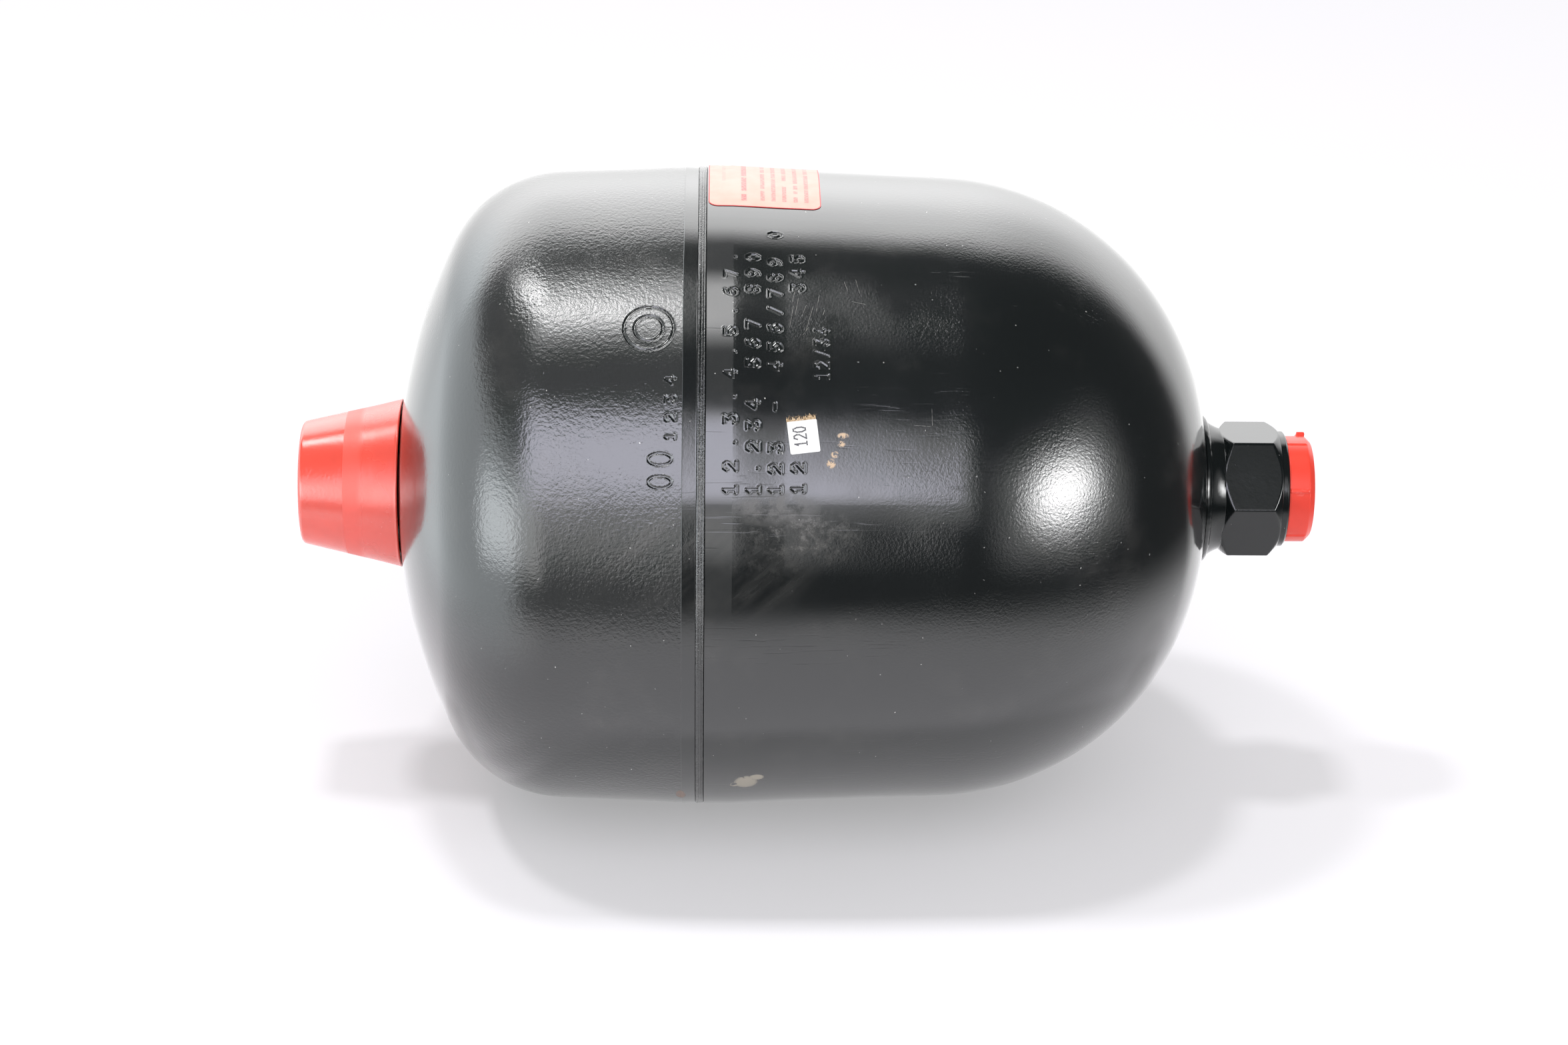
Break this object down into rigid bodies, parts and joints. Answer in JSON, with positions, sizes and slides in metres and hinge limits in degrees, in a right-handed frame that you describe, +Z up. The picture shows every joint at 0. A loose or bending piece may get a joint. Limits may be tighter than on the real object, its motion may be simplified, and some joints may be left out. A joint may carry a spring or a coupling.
{
  "type": "hydraulic diaphragm accumulator",
  "caption": "Welded steel pressure vessel with a clamped rubber diaphragm, a capped gas valve at one end and a hexagon fluid port with a dust plug at the other.",
  "frame": {"origin": "centre of the fluid port's end face", "axes": "+X out of the fluid port along the vessel's axis, +Z up as the vessel lies on its side"},
  "size_m": [0.2701, 0.1706, 0.1708],
  "materials": {
    "black_paint": "gloss black paint over forged steel",
    "bare_steel": "turned steel",
    "plated_steel": "zinc plated",
    "black_rubber": "moulded nitrile rubber",
    "red_cap_plastic": "moulded soft plastic, satin",
    "red_plug_plastic": "moulded plastic, satin",
    "label_film": "printed film",
    "sticker_paper": "coated paper",
    "torn_paper": "torn brown paper"
  },
  "bodies": {
    "vessel": {"gas_end_shell": "black_paint", "fluid_end_shell": "black_paint", "shell_weld": "black_paint", "diaphragm_clamp_ring": "bare_steel", "diaphragm": "black_rubber", "gas_valve_boss": "black_paint", "gas_boss_weld": "black_paint", "sealing_screw_o_ring": "black_rubber", "fluid_port_fitting": "black_paint", "port_weld": "black_paint", "data_label": "label_film", "precharge_sticker": "sticker_paper", "paper_scrap": "torn_paper"},
    "button": {"diaphragm_button": "bare_steel"},
    "screw": {"sealing_screw": "plated_steel"},
    "cap": {"gas_valve_cap": "red_cap_plastic"},
    "plug": {"port_plug": "red_plug_plastic"}
  },
  "joints": [
    {"name": "cap_pull", "type": "slide", "parent": "vessel", "child": "cap", "axis": [-1, 0, 0], "range_m": [0, 0.05]},
    {"name": "plug_pull", "type": "slide", "parent": "vessel", "child": "plug", "axis": [1, 0, 0], "range_m": [0, 0.06]},
    {"name": "screw_turn", "type": "hinge", "parent": "vessel", "child": "screw", "pos_m": [-0.2525, 0, 0], "axis": [-1, 0, 0], "range_deg": [0, 360]},
    {"name": "button_lift", "type": "slide", "parent": "vessel", "child": "button", "axis": [-1, 0, 0], "range_m": [0, 0.17], "stiffness_N_per_m": 200, "springref_m": -0.05, "deforming": ["diaphragm"]}
  ]
}
